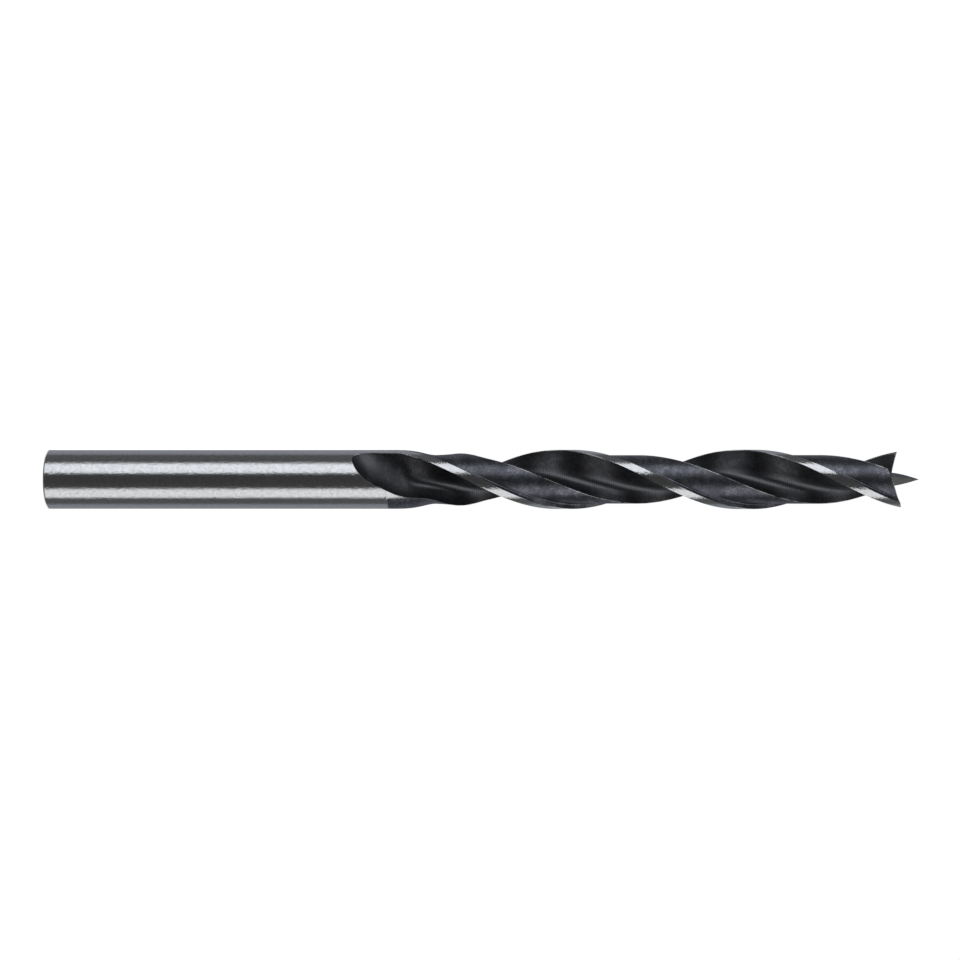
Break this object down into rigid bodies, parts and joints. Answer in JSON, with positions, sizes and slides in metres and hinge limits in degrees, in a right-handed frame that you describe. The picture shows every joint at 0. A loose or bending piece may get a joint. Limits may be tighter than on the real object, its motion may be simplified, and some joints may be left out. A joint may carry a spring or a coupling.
{
  "type": "brad point drill bit",
  "caption": "Wood drill bit with a plain round shank, two right-hand helical flutes with ground margins, rising lips, outer spurs and a central brad point.",
  "frame": {"origin": "centre of the flat end of the shank, on the axis", "axes": "+Z along the axis from the shank end to the brad; one spur is on +X at the height of the spurs"},
  "size_m": [0.008, 0.008, 0.117],
  "materials": {
    "steel": "bright ground shank and margins; flutes, relieved lands and tip left in black oxide"
  },
  "bodies": {
    "root": {"drill_bit": "steel"}
  },
  "joints": []
}
